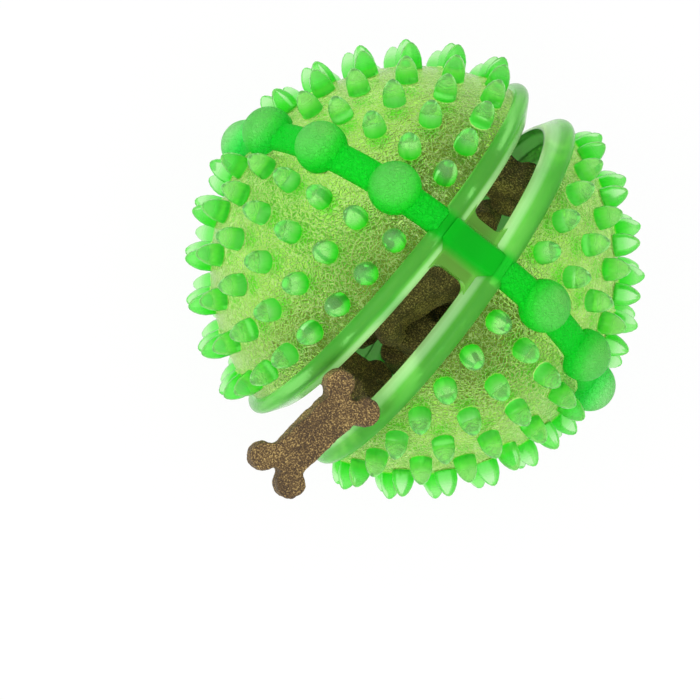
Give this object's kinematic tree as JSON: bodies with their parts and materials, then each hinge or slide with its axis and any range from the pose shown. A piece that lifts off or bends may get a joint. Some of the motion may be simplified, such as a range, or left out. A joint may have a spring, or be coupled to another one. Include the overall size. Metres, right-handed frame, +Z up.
{
  "type": "treat dispensing ball",
  "caption": "Soft hollow pet ball in spiked half domes held by webs across a slot, with knobbed ribs, that lets bone-shaped treats out as it is rolled and chewed.",
  "frame": {"origin": "on the floor straight below the ball's centre, where the ball stands on its lowest spikes", "axes": "+Z up through the two webs, X from the left dome's pole to the right dome's pole, -Y out of the front slot that the treat leaves by"},
  "size_m": [0.09, 0.1014, 0.0851],
  "materials": {
    "dome_rubber": "translucent lime thermoplastic rubber with a fine leather grain",
    "rib_rubber": "the same rubber where it is thick, so a deeper green, satin",
    "treat": "dark brown baked treat, coarse speckled crumb"
  },
  "bodies": {
    "right_half": {"right_dome": "dome_rubber", "right_rib": "rib_rubber", "top_web": "rib_rubber", "bottom_web": "rib_rubber", "treat_bottom": "treat", "treat_right": "treat", "treat_right_upper": "treat", "treat_front": "treat", "treat_rear": "treat", "treat_rear_upper": "treat", "treat_cross_front": "treat", "treat_cross_rear": "treat", "treat_top": "treat"},
    "left_half": {"left_dome": "dome_rubber", "left_rib": "rib_rubber"},
    "leaving_treat": {"treat_leaving": "treat"}
  },
  "joints": [
    {"name": "slot_flex", "type": "hinge", "parent": "right_half", "child": "left_half", "pos_m": [0, 0, 0.04258], "axis": [0, 0, -1], "range_deg": [0, 5], "stiffness_Nm_per_rad": 0.3, "deforming": ["top_web", "bottom_web"]},
    {"name": "treat_slide", "type": "slide", "parent": "right_half", "child": "leaving_treat", "axis": [-0.2033, -0.9695, -0.1371], "range_m": [0, 0.02]}
  ]
}
